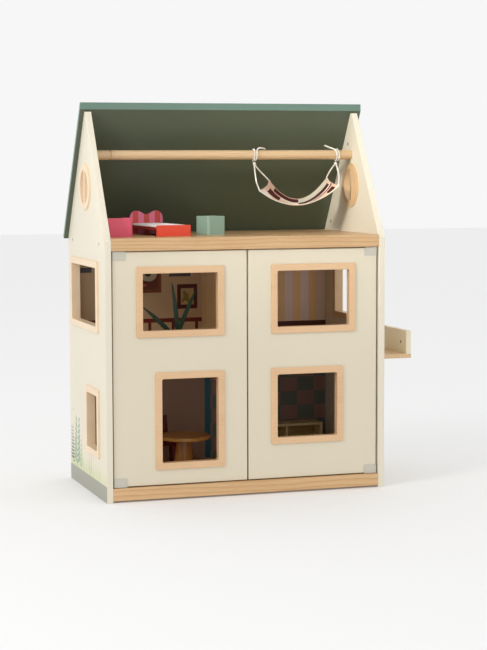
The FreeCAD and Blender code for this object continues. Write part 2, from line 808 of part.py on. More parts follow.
leaf_foot = plant_rest + pot_height - 12.0
leaf_tips = ((-10.0, 394.0), (41.0, 380.0), (-66.0, 348.0))
leaves = []
for order, (across, tip_z) in enumerate(leaf_tips):
    y = plant_y + (order - 1) * 3.0 * leaf_thick - leaf_thick / 2
    root_x = plant_x - across * leaf_cross
    length = math.hypot(across, tip_z - leaf_foot)
    side_x = leaf_width / 2 * (tip_z - leaf_foot) / length
    side_z = -leaf_width / 2 * across / length
    belly = 0.4
    belly_x = root_x + (plant_x + across - root_x) * belly
    belly_z = leaf_foot + (tip_z - leaf_foot) * belly
    outline = [Vector(root_x - side_x / 2, y, leaf_foot), Vector(root_x + side_x / 2, y, leaf_foot),
               Vector(belly_x + side_x, y, belly_z + side_z), Vector(plant_x + across, y, tip_z),
               Vector(belly_x - side_x, y, belly_z - side_z)]
    leaves.append(slab(outline, Y * leaf_thick))
save("plant_leaves", group(leaves))
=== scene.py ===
import math

import bpy
import numpy as np
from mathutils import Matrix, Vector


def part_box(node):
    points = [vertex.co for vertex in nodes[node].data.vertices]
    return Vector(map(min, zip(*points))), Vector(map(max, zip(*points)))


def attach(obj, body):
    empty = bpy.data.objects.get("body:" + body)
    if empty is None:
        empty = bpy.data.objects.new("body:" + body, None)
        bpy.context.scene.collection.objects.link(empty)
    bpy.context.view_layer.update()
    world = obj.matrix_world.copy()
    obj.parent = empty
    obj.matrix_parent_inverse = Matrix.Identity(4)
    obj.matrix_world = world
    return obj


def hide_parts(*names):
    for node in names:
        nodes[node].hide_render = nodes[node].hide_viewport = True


# Finishes and soft pieces of a wooden dollhouse, built round its frame. Metres.

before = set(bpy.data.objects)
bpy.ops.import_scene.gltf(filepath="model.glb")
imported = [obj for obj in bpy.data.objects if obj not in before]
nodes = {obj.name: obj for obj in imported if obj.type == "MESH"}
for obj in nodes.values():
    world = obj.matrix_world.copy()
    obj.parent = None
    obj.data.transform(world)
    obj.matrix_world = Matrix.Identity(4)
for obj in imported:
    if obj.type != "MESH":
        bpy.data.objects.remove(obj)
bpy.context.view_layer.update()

MM = 0.001
left_wall_low, left_wall_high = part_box("left_side_wall")
right_wall_low, right_wall_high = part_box("right_side_wall")
HOUSE_X = (left_wall_low.x + right_wall_high.x) / 2    # middle of the house itself
HOUSE_Y = (left_wall_low.y + left_wall_high.y) / 2
WALL_OUT = right_wall_high.x - HOUSE_X
rail_low, rail_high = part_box("hammock_rail")
RAIL_Z = (rail_low.z + rail_high.z) / 2
RAIL_RADIUS = (rail_high.z - rail_low.z) / 2
BED_TURN = math.radians(5.5)
rng = np.random.default_rng(7)


def about_house(x, y, z):
    """A place given from under the middle of the house."""
    return (HOUSE_X + x, HOUSE_Y + y, z)


# ---- Camera ----

def make_camera():
    """A long lens, low and to the left of the doors."""
    data = bpy.data.cameras.new("camera")
    data.sensor_width = 36.0
    data.lens = 100.9
    data.clip_start = 0.1
    data.clip_end = 50.0
    camera = bpy.data.objects.new("camera", data)
    camera.location = about_house(-1.0438, -3.3127, 0.6158)
    camera.rotation_euler = (math.pi / 2 - 0.0896, 0.0028, -0.3159)
    bpy.context.scene.collection.objects.link(camera)
    bpy.context.scene.camera = camera


make_camera()


# ---- Meshes ----

def make_mesh(name, points, faces, body, uv=None):
    """A smooth piece from whole arrays, riding on a body. Points in one place become one, so poles
    and seams close; faces are turned to look outward. uv holds one pair for each point."""
    points = np.asarray(points, float).reshape(-1, 3)
    corner = (points - points.mean(axis=0))[faces]
    volume = sum(np.sum(corner[:, 0] * np.cross(corner[:, k], corner[:, k + 1])) for k in (1, 2))
    if volume < 0:
        faces = faces[:, ::-1]
    places, merged = np.unique(points, axis=0, return_inverse=True)
    merged = merged.ravel()
    polygons, corners = [], []
    for face in faces.tolist():
        kept = {int(merged[k]): k for k in face}
        if len(kept) > 2:
            polygons.append(list(kept))
            corners += kept.values()
    mesh = bpy.data.meshes.new(name)
    mesh.from_pydata(places.tolist(), [], polygons)
    mesh.polygons.foreach_set("use_smooth", np.full(len(mesh.polygons), True))
    if uv is not None:
        layer = mesh.uv_layers.new(name="pattern")
        layer.data.foreach_set("uv", uv[corners].astype(np.float32).ravel())
    mesh.update()
    piece = bpy.data.objects.new(name, mesh)
    bpy.context.scene.collection.objects.link(piece)
    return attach(piece, body)


def grid_faces(rows, columns, first=0):
    """Quads of a grid of points stored row by row."""
    i, j = np.mgrid[:rows - 1, :columns - 1]
    corner = first + (i * columns + j).ravel()
    return np.stack([corner, corner + columns, corner + columns + 1, corner + 1], axis=1)


def grid_uv(rows, columns, long=1.0, wide=1.0):
    """Pattern coordinates of a grid: the first across the columns, the second down the rows."""
    down, across = np.mgrid[:rows, :columns]
    return np.stack([across.ravel() * wide / (columns - 1), down.ravel() * long / (rows - 1)],
                    axis=-1)


def seamed(rings, rows=0):
    """Rings with their first column, and if asked their first ring, said again at the end."""
    return np.pad(rings, ((0, rows), (0, 1), (0, 0)), mode="wrap")


def unit(vectors):
    """Vectors scaled to length 1."""
    return vectors / np.linalg.norm(vectors, axis=-1, keepdims=True)


def carried_frames(line):
    """Tangents and two cross directions along a line, carried from point to point without twist."""
    tangents = unit(np.gradient(line, axis=0))
    any_direction = [0.31, 0.52, 0.79]
    side = np.cross(tangents[0], any_direction)
    sides = []
    for tangent in tangents:
        side = side - tangent * (side @ tangent)
        side = side / np.linalg.norm(side)
        sides.append(side)
    sides = np.array(sides)
    return tangents, sides, np.cross(tangents, sides)


def tube_points(line, radii, columns):
    """Rings of a round tube along a line: centre + radius (side cos a + other sin a)."""
    _, sides, others = carried_frames(line)
    angles = np.linspace(0, 2 * math.pi, columns, endpoint=False)[None, :, None]
    ring = sides[:, None] * np.cos(angles) + others[:, None] * np.sin(angles)
    return seamed(line[:, None] + radii[:, None, None] * ring)


def evenly(line, step):
    """A line's points spaced evenly along it."""
    run = np.concatenate([[0], np.cumsum(np.linalg.norm(np.diff(line, axis=0), axis=1))])
    places = np.linspace(0, run[-1], max(int(run[-1] / step), 8) + 1)
    return np.stack([np.interp(places, run, line[:, k]) for k in range(3)], axis=1), run[-1]


# ---- Hammock cords ----

CORD_DIAMETER = 3.0 * MM
CORD_STEP = 0.6 * MM
LOOP_STEPS = 8               # route points in one turn round the rail
LOOP_ADVANCE = 4.5 * MM      # along the rail, in one turn
TWIST_PITCH = 8.5 * MM
PLIES = 3
PLY_COLUMNS = 8
FIBRES = 26
GOLDEN_SHARE = 0.618         # of a turn, from one fibre to the next
KNOT_ROWS = 96
KNOT_COLUMNS = 10
KNOT_REACH = 0.78 * MM
KNOT_TUBE = 1.2 * MM
hammock_middle = np.array([right_wall_low.x - 114.0 * MM, HOUSE_Y, RAIL_Z])

loop_reach = (RAIL_RADIUS + CORD_DIAMETER / 2 + 0.4 * MM) / math.cos(math.pi / LOOP_STEPS)


def loop_route(place, direction, tail):
    """Cord once and a half round the rail, from under it, then its loose tail."""
    route = []
    for step in range(LOOP_STEPS * 3 // 2):
        angle = 2 * math.pi * step / LOOP_STEPS
        route.append((place + direction * LOOP_ADVANCE * step / LOOP_STEPS,
                      -loop_reach * math.sin(angle), -loop_reach * math.cos(angle)))
    return route + tail


# Points from the hammock's middle, on the rail's axis.
left_tail = [(-0.0765, -0.0020, 0.0122), (-0.0695, 0.0015, 0.0136), (-0.0620, 0.0025, 0.0118)]
right_tail = [(0.0755, -0.0020, 0.0124), (0.0685, 0.0015, 0.0146), (0.0615, 0.0010, 0.0174)]
cord_routes = {
    "hammock_left_loop": loop_route(-0.087, 1, left_tail),
    "hammock_right_loop": loop_route(0.087, -1, right_tail),
    "hammock_left_front_strand": [(-0.0844, -0.0020, -0.0186), (-0.0848, -0.0070, -0.0305),
                                  (-0.0858, -0.0145, -0.0430), (-0.0854, -0.0205, -0.0550),
                                  (-0.0800, -0.0232, -0.0688)],
    "hammock_left_back_strand": [(-0.0820, 0.0020, -0.0186), (-0.0715, 0.0080, -0.0290),
                                 (-0.0580, 0.0150, -0.0395), (-0.0444, 0.0216, -0.0512)],
    "hammock_right_front_strand": [(0.0834, -0.0020, -0.0188), (0.0840, -0.0080, -0.0300),
                                   (0.0842, -0.0160, -0.0435), (0.0796, -0.0232, -0.0608)],
    "hammock_right_back_strand": [(0.0810, 0.0020, -0.0188), (0.0764, 0.0080, -0.0275),
                                  (0.0736, 0.0150, -0.0355), (0.0716, 0.0214, -0.0448)],
}


def spline_line(route):
    """The smooth line of a route: a NURBS spline with the route as its control points."""
    curve = bpy.data.curves.new("route", "CURVE")
    curve.dimensions = "3D"
    spline = curve.splines.new("NURBS")
    spline.points.add(len(route) - 1)
    for point, place in zip(spline.points, route):
        point.co = (*(hammock_middle + np.array(place)), 1)
    spline.order_u = 3
    spline.use_endpoint_u = True
    spline.resolution_u = 24
    holder = bpy.data.objects.new("route", curve)
    bpy.context.scene.collection.objects.link(holder)
    bpy.context.view_layer.update()
    mesh = bpy.data.meshes.new_from_object(holder)
    line = np.zeros(len(mesh.vertices) * 3)
    mesh.vertices.foreach_get("co", line)
    bpy.data.objects.remove(holder)
    bpy.data.meshes.remove(mesh)
    bpy.data.curves.remove(curve)
    return line.reshape(-1, 3)


def twisted_cord(name, line, body):
    """Three plies wound round the line: ply centre = line + r (side cos a + other sin a), where a
    grows by a full turn each pitch; each ply is a round tube that closes to a point at its ends."""
    line, length = evenly(line, CORD_STEP)
    rows = len(line)
    _, sides, others = carried_frames(line)
    along = np.linspace(0, length, rows)
    ply_radius = 0.27 * CORD_DIAMETER
    offset = 0.23 * CORD_DIAMETER
    columns = PLY_COLUMNS
    radii = np.full(rows, ply_radius)
    radii[[0, -1]] = 0
    points, faces, uv = [], [], []
    for ply in range(PLIES):
        turn = 2 * math.pi * (along / TWIST_PITCH + ply / PLIES)[:, None]
        centre = line + offset * (sides * np.cos(turn) + others * np.sin(turn))
        points.append(tube_points(centre, radii, columns).reshape(-1, 3))
        faces.append(grid_faces(rows, columns + 1, ply * rows * (columns + 1)))
        uv.append(grid_uv(rows, columns + 1, length / TWIST_PITCH))
    return make_mesh(name, np.concatenate(points), np.concatenate(faces), body,
                     uv=np.concatenate(uv)), line


def frayed_end(name, line, body):
    """Loose fibres that fan out of a cut end: each a thin tube that bends away from the line."""
    start = line[-1]
    onward = unit(line[-1] - line[-4])
    _, sides, others = carried_frames(line)
    points, faces = [], []
    rows, columns = 6, 5
    for fibre in range(FIBRES):
        angle = 2 * math.pi * (fibre * GOLDEN_SHARE % 1)
        spread = rng.uniform(0.2, 1.0)
        out = sides[-1] * math.cos(angle) + others[-1] * math.sin(angle)
        reach = rng.uniform(2.6, 4.2) * MM
        part = np.linspace(0, 1, rows)[:, None]
        centre = start - onward * 1.2 * MM + out * (0.9 * MM * spread)
        centre = centre + onward * reach * part + out * 1.5 * MM * spread * part ** 2
        radii = 0.24 * MM * (1 - 0.75 * part[:, 0])
        radii[[0, -1]] = 0
        points.append(tube_points(centre, radii, columns).reshape(-1, 3))
        faces.append(grid_faces(rows, columns + 1, fibre * rows * (columns + 1)))
    return make_mesh(name, np.concatenate(points), np.concatenate(faces), body,
                     uv=np.tile(grid_uv(rows, columns + 1), (FIBRES, 1)))


def knot(name, node):
    """A trefoil: ((2 + cos 3t) cos 2t, 1.3 sin 3t, (2 + cos 3t) sin 2t), as a closed round tube."""
    low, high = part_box(node)
    centre = np.array((low + high) / 2)
    t = np.linspace(0, 2 * math.pi, KNOT_ROWS, endpoint=False)
    line = np.stack([(2 + np.cos(3 * t)) * np.cos(2 * t), 1.3 * np.sin(3 * t),
                     (2 + np.cos(3 * t)) * np.sin(2 * t)], axis=1) * KNOT_REACH + centre
    tangents = unit(np.roll(line, -1, axis=0) - np.roll(line, 1, axis=0))
    sides = unit(np.cross(tangents, unit(line - centre)))
    others = np.cross(tangents, sides)
    angles = np.linspace(0, 2 * math.pi, KNOT_COLUMNS, endpoint=False)[None, :, None]
    rings = line[:, None] + KNOT_TUBE * (sides[:, None] * np.cos(angles)
                                         + others[:, None] * np.sin(angles))
    grid = (KNOT_ROWS + 1, KNOT_COLUMNS + 1)
    piece = make_mesh(name, seamed(rings, 1), grid_faces(*grid), "hammock_sling",
                      uv=grid_uv(*grid, 6.0))
    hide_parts(node)
    return piece


cord_pieces = []
for cord_name, route in cord_routes.items():
    is_loop = cord_name.endswith("loop")
    cord_body = "hammock_hanger" if is_loop else "hammock_sling"
    piece, line = twisted_cord(cord_name + "_cord", spline_line(route), cord_body)
    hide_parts(cord_name)
    ends = []
    if is_loop:
        tuft = frayed_end(cord_name + "_frayed_end", line, cord_body)
        ends.append(tuft)
    cord_pieces += [piece] + ends
for side in ("left", "right"):
    piece = knot("hammock_" + side + "_tied_knot", "hammock_" + side + "_knot")
    cord_pieces.append(piece)


# ---- Hammock cloth ----

CLOTH_ROWS = 121
CLOTH_COLUMNS = 41
CLOTH_LONG = 0.168
CLOTH_WIDE = 0.054
CLOTH_THICK = 0.7 * MM
CLOTH_THREAD = 0.7 * MM
FRONT_SAG = 0.0311
BACK_SAG = 0.0387
HEM_WIDE = 1.1 * MM          # half sizes of the rolled hem
HEM_THICK = 0.75 * MM
HEM_COLUMNS = 10


def hanging_edge(start, end, sag, part):
    """A parabola between two points, hanging below its chord."""
    line = start + (end - start) * part[:, None]
    line[:, 2] -= 4 * sag * part * (1 - part)
    return line


def cloth_points(part, across):
    """Cloth between its two long edges. A trough 4 t (1 - t) deep hangs between the edges, most in
    the middle of the length, and small folds fan from the four corners and die out within 30 mm."""
    front = hanging_edge(hammock_middle + np.array([-0.082, -0.024, -0.068]),
                         hammock_middle + np.array([0.081, -0.024, -0.060]), FRONT_SAG, part)
    back = hanging_edge(hammock_middle + np.array([-0.046, 0.022, -0.050]),
                        hammock_middle + np.array([0.073, 0.022, -0.044]), BACK_SAG, part)
    s = part[:, None]
    t = across[None, :]
    points = front[:, None] * (1 - t[..., None]) + back[:, None] * t[..., None]
    trough = 4 * t * (1 - t) * (1.5 + 4.5 * np.sin(math.pi * s)) * MM
    ends = np.minimum(s, 1 - s)
    edge_pull = 4 * t * (1 - t) * np.exp(-ends / 0.05) * 5.0 * MM
    corner = np.exp(-np.hypot(ends * 0.17, np.minimum(t, 1 - t) * 0.05) / 0.011)
    folds = 0.9 * MM * corner * np.sin(t * 46 + s * 14)
    ripples = 0.35 * MM * np.sin(t * 19 + 5 * np.sin(s * 6)) * np.exp(-ends / 0.2)
    points[..., 2] += folds + ripples - trough
    points[..., 0] += edge_pull * np.where(s < 0.5, 1, -1)
    return points


def make_cloth():
    """The cloth, with its hems as flattened rolls round all four edges."""
    part = np.linspace(0, 1, CLOTH_ROWS)
    across = np.linspace(0, 1, CLOTH_COLUMNS)
    points = cloth_points(part, across)
    uv = np.stack(np.broadcast_arrays(part[:, None], across[None, :]), axis=-1)
    cloth = make_mesh("hammock_sling_cloth", points, grid_faces(CLOTH_ROWS, CLOTH_COLUMNS),
                      "hammock_sling", uv=uv.reshape(-1, 2))
    thicken = cloth.modifiers.new("thickness", "SOLIDIFY")
    thicken.thickness = CLOTH_THICK
    thicken.offset = 0
    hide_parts("hammock_cloth")
    rim = np.concatenate([points[:, 0], points[-1, 1:], points[-2::-1, -1], points[0, -2:0:-1]])
    rim_uv = np.concatenate([uv[:, 0], uv[-1, 1:], uv[-2::-1, -1], uv[0, -2:0:-1]])
    tangents = unit(np.roll(rim, -1, axis=0) - np.roll(rim, 1, axis=0))
    middle = points.reshape(-1, 3).mean(axis=0)
    inward = unit(np.cross(np.cross(tangents, middle - rim), tangents))
    upward = np.cross(tangents, inward)
    angles = np.linspace(0, 2 * math.pi, HEM_COLUMNS, endpoint=False)[None, :, None]
    rings = (rim[:, None] + HEM_WIDE * inward[:, None] * np.cos(angles)
             + HEM_THICK * upward[:, None] * np.sin(angles))
    hem_uv = seamed(np.repeat(rim_uv[:, None], HEM_COLUMNS, axis=1), 1)
    hem = make_mesh("hammock_hem", seamed(rings, 1), grid_faces(len(rim) + 1, HEM_COLUMNS + 1),
                    "hammock_sling", uv=hem_uv.reshape(-1, 2))
    return cloth, hem


cloth_pieces = make_cloth()


# ---- Mattress ----

def make_mattress():
    """A thin pad: a superellipsoid, half-sides times signed powers of cosines and sines, crowned by
    a cosine in the middle, with five sewn channels across it."""
    low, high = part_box("bed_mattress")
    centre = np.array((low + high) / 2)
    half_wide, half_long, half_tall = 32.6 * MM, 68.6 * MM, 2.5 * MM
    rows, columns = 121, 160
    v = np.linspace(-math.pi / 2, math.pi / 2, rows)[:, None]
    u = np.linspace(0, 2 * math.pi, columns, endpoint=False)[None, :]

    def power(value, exponent):
        return np.sign(value) * np.abs(value) ** exponent

    ring = power(np.cos(v), 0.35)
    ring[[0, -1]] = 0
    x = half_wide * ring * power(np.cos(u), 0.22)
    y = half_long * ring * power(np.sin(u), 0.22)
    z = half_tall * power(np.sin(v), 0.5) * np.ones_like(u)
    crown = np.cos(x / half_wide * 1.4) * np.cos(y / half_long * 1.4)
    z = z + np.where(z > 0, 1.5 * MM * crown, 0)
    for channel in range(5):
        place = half_long * (channel - 2) * 0.36
        z = z - np.where(z > 0, 0.9 * MM * np.exp(-((y - place) / (1.6 * MM)) ** 2), 0)
    points = np.stack([centre[0] + x * math.cos(BED_TURN) - y * math.sin(BED_TURN),
                       centre[1] + x * math.sin(BED_TURN) + y * math.cos(BED_TURN),
                       centre[2] + z], axis=-1)
    pad = make_mesh("bed_pad", seamed(points), grid_faces(rows, columns + 1), "doll_bed")
    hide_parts("bed_mattress")
    return pad


mattress = make_mattress()


# ---- Leaves ----

def make_leaves():
    """Three blades: a lens-shaped section, folded a little along its midrib, carried along a line
    that bends sideways as a parabola, its width rising to the belly and running out at the tip."""
    low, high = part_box("plant_pot")
    root_x = (low.x + high.x) / 2
    root_y = (low.y + high.y) / 2
    foot_z = high.z - 12 * MM
    rows, columns = 40, 14
    u = np.linspace(0, 1, rows)[:, None]
    angle = np.linspace(0, 2 * math.pi, columns, endpoint=False)[None, :]
    shapes = ((-10.0, 104.9, 2.0), (41.0, 90.9, -2.0), (-66.0, 58.9, 2.5))
    points, faces = [], []
    for order, (across, rise, bend) in enumerate(shapes):
        start = np.array([root_x - across * 0.1 * MM, foot_z])
        end = np.array([root_x + across * MM, high.z + rise * MM])
        along = end - start
        sideways = np.array([along[1], -along[0]]) / np.linalg.norm(along)
        line = start + along * u + sideways * (4 * bend * MM * u * (1 - u))
        width = 4.4 * MM * np.sin(math.pi * np.clip(0.12 + 0.88 * u, 0, 1)) ** 0.75
        width[[0, -1]] = 0
        depth = 0.75 * MM * (1 - 0.6 * u)
        depth[[0, -1]] = 0
        flat = np.cos(angle) * width
        fold = np.abs(np.cos(angle)) * width * 0.16
        y = root_y + (order - 1) * 4.8 * MM + np.sin(angle) * depth * (1 - 0.6 * np.cos(angle) ** 2)
        blade = np.stack([line[:, :1] + sideways[0] * flat,
                          y - fold + 0.3 * MM,
                          line[:, 1:] + sideways[1] * flat], axis=-1)
        points.append(seamed(blade).reshape(-1, 3))
        faces.append(grid_faces(rows, columns + 1, order * rows * (columns + 1)))
    leaves = make_mesh("plant_blades", np.concatenate(points), np.concatenate(faces), "doll_plant")
    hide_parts("plant_leaves")
    return leaves


leaves = make_leaves()


# ---- Finishes ----

class Value:
    """A number carried by a socket. Arithmetic on it adds Math nodes to its finish."""

    def __init__(self, finish, socket):
        self.finish = finish
        self.socket = socket

    def math(self, operation, *operands):
        return self.finish.node("ShaderNodeMath", {"operation": operation},
                                dict(enumerate(operands)))

    def __add__(self, other):
        return self.math("ADD", self, other)

    def __sub__(self, other):
        return self.math("SUBTRACT", self, other)

    def __rsub__(self, other):
        return self.math("SUBTRACT", other, self)

    def __mul__(self, other):
        return self.math("MULTIPLY", self, other)

    def __truediv__(self, other):
        return self.math("DIVIDE", self, other)

    def __mod__(self, other):
        return self.math("FLOORED_MODULO", self, other)

    def __pow__(self, other):
        return self.math("POWER", self, other)

    def __gt__(self, other):
        return self.math("GREATER_THAN", self, other)

    def __lt__(self, other):
        return self.math("LESS_THAN", self, other)

    def __abs__(self):
        return self.math("ABSOLUTE", self)

    __radd__ = __add__
    __rmul__ = __mul__

    def clamped(self):
        return self.finish.node("ShaderNodeClamp", None, {0: self})

    def sine(self):
        return self.math("SINE", self)

    def root(self):
        return self.math("SQRT", self)


class Finish:
    """A material being made, with its shader and the piece's own coordinates."""

    def __init__(self, name, roughness=0.5, **constants):
        self.material = bpy.data.materials.new(name)
        self.material.use_nodes = True
        self.tree = self.material.node_tree
        self.shader = self.tree.nodes["Principled BSDF"]
        self.set(Roughness=roughness)
        for label, value in constants.items():
            self.shader.inputs[label.replace("_", " ")].default_value = value

    def feed(self, socket, value):
        """A link, a colour or a number into a socket."""
        if isinstance(value, Value):
            self.tree.links.new(value.socket, socket)
        elif isinstance(value, tuple) and socket.type == "RGBA":
            socket.default_value = (*value, 1.0)
        else:
            socket.default_value = value

    def node(self, kind, settings=None, sockets=None, out=0):
        """Any node: its settings first, then the values or links of its sockets."""
        made = self.tree.nodes.new(kind)
        for label, value in (settings or {}).items():
            setattr(made, label, value)
        for key, value in (sockets or {}).items():
            self.feed(made.inputs[key], value)
        return Value(self, made.outputs[out])

    def set(self, **sockets):
        for label, value in sockets.items():
            self.feed(self.shader.inputs[label.replace("_", " ")], value)

    def place(self):
        return self.node("ShaderNodeTexCoord", out="Object")

    def pattern(self):
        return self.node("ShaderNodeUVMap", {"uv_map": "pattern"})

    def split(self, vector):
        first = self.node("ShaderNodeSeparateXYZ", None, {0: vector})
        return [Value(self, output) for output in first.socket.node.outputs]

    def join(self, x, y, z):
        return self.node("ShaderNodeCombineXYZ", None, {0: x, 1: y, 2: z})

    def noise(self, vector, scale, detail=2.0, roughness=0.5):
        return self.node("ShaderNodeTexNoise", None,
                         {"Vector": vector, "Scale": scale, "Detail": detail,
                          "Roughness": roughness})

    def mix(self, share, first, second):
        return self.node("ShaderNodeMix", {"data_type": "RGBA"},
                         {0: share, 6: first, 7: second}, out=2)

    def layers(self, tone, masked):
        """Colours laid one over another, each through its mask."""
        for mask, layer in masked:
            tone = self.mix(mask, tone, layer)
        return tone

    def bump(self, height, strength, distance):
        self.set(Normal=self.node("ShaderNodeBump", None,
                                  {"Strength": strength, "Distance": distance,
                                   "Height": height}))


def colour(red, green, blue):
    """A colour from its everyday 0 to 255 values, as light."""
    return tuple(((c / 255 + 0.055) / 1.055) ** 2.4 if c > 10 else c / 255 / 12.92
                 for c in (red, green, blue))


def shade(tone, share):
    """A colour made darker or lighter by a share."""
    return tuple(min(1.0, c * share) for c in tone)


def between(value, low, high):
    """1 where a value lies between two numbers."""
    return (value > low) * (value < high)


def patch(x, z, left, right, bottom, top):
    """1 inside an upright rectangle."""
    return between(x, left, right) * between(z, bottom, top)


def oval(x, z, middle_x, middle_z, half_wide, half_tall):
    """1 inside an oval."""
    across = (x - middle_x) / half_wide
    up = (z - middle_z) / half_tall
    return (across * across + up * up) < 1.0


def paint_tone(finish, place, tone, drift=0.05):
    """Paint's slow drift of tone and its faint brush lines."""
    slow = finish.noise(place, 5.0, 3.0)
    fine = finish.noise(place, 140.0, 2.0)
    mixed = finish.mix(slow, shade(tone, 1 - drift), shade(tone, 1 + drift * 0.6))
    return finish.mix(fine * 0.35, mixed, shade(tone, 1 - drift * 0.8))


def paint_skin(finish, place, strength=0.12):
    """The fine orange-peel skin of sprayed paint."""
    peel = finish.noise(place, 700.0, 2.0)
    wide = finish.noise(place, 90.0, 1.0)
    finish.bump(peel + wide * 0.6, strength, 0.0004)


def painted(name, tone, roughness=0.42, drift=0.05):
    """Satin paint on wood."""
    finish = Finish(name, roughness)
    place = finish.place()
    finish.set(Base_Color=paint_tone(finish, place, tone, drift))
    finish.set(Roughness=finish.noise(place, 60.0, 2.0) * 0.14 + (roughness - 0.07))
    paint_skin(finish, place)
    return finish.material


def timber_parts(finish, along, ring, seed):
    """Straight-grained wood. Rings are the distance from a pith well outside the board, bent by
    slow noise along the grain; fibres and pores are noise stretched along the grain."""
    x, y, z = finish.split(finish.place())
    run, across, up = {"x": (x, y, z), "y": (y, x, z), "z": (z, x, y)}[along]
    slow = finish.noise(finish.join(run * 3.0 + seed, across * 9.0, up * 9.0), 1.0, 3.0)
    off_across = across + 0.31 + seed * 0.013
    off_up = up + 0.17 - seed * 0.021
    radius = (off_across * off_across + off_up * off_up).root() + slow * 0.022
    ring_place = (radius / ring) % 1.0
    late = ring_place ** 5.0 * (1.0 - ring_place ** 40.0)
    fibre = finish.noise(finish.join(run * 22.0 + seed, across * 620.0, up * 620.0), 1.0, 3.0, 0.6)
    pore = finish.noise(finish.join(run * 60.0, across * 2400.0, up * 2400.0), 1.0, 1.0)
    blush = finish.noise(finish.join(run * 7.0 + seed, across * 30.0, up * 30.0), 1.0, 2.0)
    return late, fibre, pore, blush


def timber(name, pale, dark, along="x", ring=0.0042, seed=0.0, rings=0.75, coat=0.25):
    """Clear-lacquered wood with rings, fibres, pores and a slow blush of tone."""
    finish = Finish(name, Coat_Roughness=0.3)
    late, fibre, pore, blush = timber_parts(finish, along, ring, seed)
    wood = finish.mix((late * rings + fibre * 0.45).clamped(), pale, dark)
    wood = finish.mix(((blush - 0.45) * 2.2).clamped() * 0.5, wood, shade(dark, 0.92))
    wood = finish.mix((pore > 0.66) * 0.28, wood, shade(dark, 0.7))
    finish.set(Base_Color=wood, Roughness=fibre * 0.2 + 0.28)
    finish.set(Coat_Weight=coat)
    finish.bump(fibre * 0.6 + pore * 0.4 - late * 0.3, 0.10, 0.0003)
    return finish.material


def metal(name, tone, roughness=0.35, metallic=1.0):
    """Plated metal with a fine uneven polish."""
    finish = Finish(name, roughness, Metallic=metallic)
    place = finish.place()
    blotch = finish.noise(place, 120.0, 3.0)
    finish.set(Base_Color=finish.mix(blotch, shade(tone, 0.92), tone))
    finish.set(Roughness=roughness + (blotch - 0.5) * 0.12)
    return finish.material


CREAM = colour(229, 221, 201)
DOOR_CREAM = colour(223, 213, 190)
PINE_PALE = colour(224, 187, 139)
PINE_DARK = colour(186, 138, 86)
BEECH_PALE = colour(231, 200, 156)
BEECH_DARK = colour(205, 166, 118)
FRAME_PALE = colour(228, 191, 150)
FRAME_DARK = colour(206, 163, 118)
# painted light: beech made paler for the pieces on the key-lit left wall
PAINTED_LIT_BEECH_PALE = colour(243, 219, 186)
PAINTED_LIT_BEECH_DARK = colour(229, 198, 160)
GREEN = colour(103, 131, 117)


# ---- Printed side wall ----

FACE_SKIN = 0.4    # millimetres of a board's thickness that count as its face

def house_millimetres(finish):
    """The piece's own coordinates in millimetres from under the middle of the house."""
    x, y, z = finish.split(finish.place())
    return (x - HOUSE_X) * 1000.0, (y - HOUSE_Y) * 1000.0, z * 1000.0


def sprig(y, z, root, foot, top, pitch, leaf_long, leaf_wide, slant):
    """A stem with a leaf to each side at every pitch: an oval, slanted upwards, in a cell that
    repeats up the stem; the leaves shorten towards the top."""
    side = abs(y - root)
    taper = 1.15 - (z - foot) / (top - foot) * 0.75
    rise = (z - foot - side * slant) % pitch
    out = (side - leaf_long * 0.55) / (taper * leaf_long * 0.55)
    up = (rise - pitch / 2) / leaf_wide
    return ((out * out + up * up) < 1.0) * between(z - side * slant, foot, top)


def blades(y, z, foot, height, pitch, lean, wander):
    """Grass: leaning blades that narrow to their tips, one in every pitch along the foot."""
    climb = (z - foot) / height
    cell = ((y + (z - foot) * lean + wander * 4.0) / pitch) % 1.0
    return (abs(cell - 0.5) < (1.0 - climb) * 0.2) * (climb > 0.0) * (climb < 1.0)


